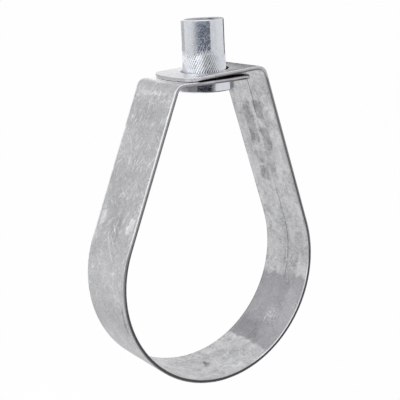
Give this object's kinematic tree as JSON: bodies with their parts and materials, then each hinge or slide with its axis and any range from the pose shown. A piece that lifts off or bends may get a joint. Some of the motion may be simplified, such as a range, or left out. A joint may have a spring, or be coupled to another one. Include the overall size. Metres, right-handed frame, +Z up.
{
  "type": "swivel ring hanger",
  "caption": "Teardrop band of bent steel strip that carries a pipe, turning on a flanged, knurled nut for a threaded rod.",
  "frame": {"origin": "on the nut's axis at its seat, the top face of the flange that carries the band", "axes": "+Z up the nut's axis towards the threaded rod, +Y along the pipe, +X across the loop"},
  "size_m": [0.064, 0.02, 0.1016],
  "materials": {
    "galvanised_strip": "hot-dip galvanised, dull and mottled",
    "zinc_plated_steel": "bright zinc plated, turned and knurled"
  },
  "bodies": {
    "nut": {"swivel_nut": "zinc_plated_steel"},
    "band": {"band": "galvanised_strip"}
  },
  "joints": [
    {"name": "band_swivel", "type": "hinge", "parent": "nut", "child": "band", "pos_m": [0, 0, 0], "axis": [0, 0, 1], "continuous": true}
  ]
}
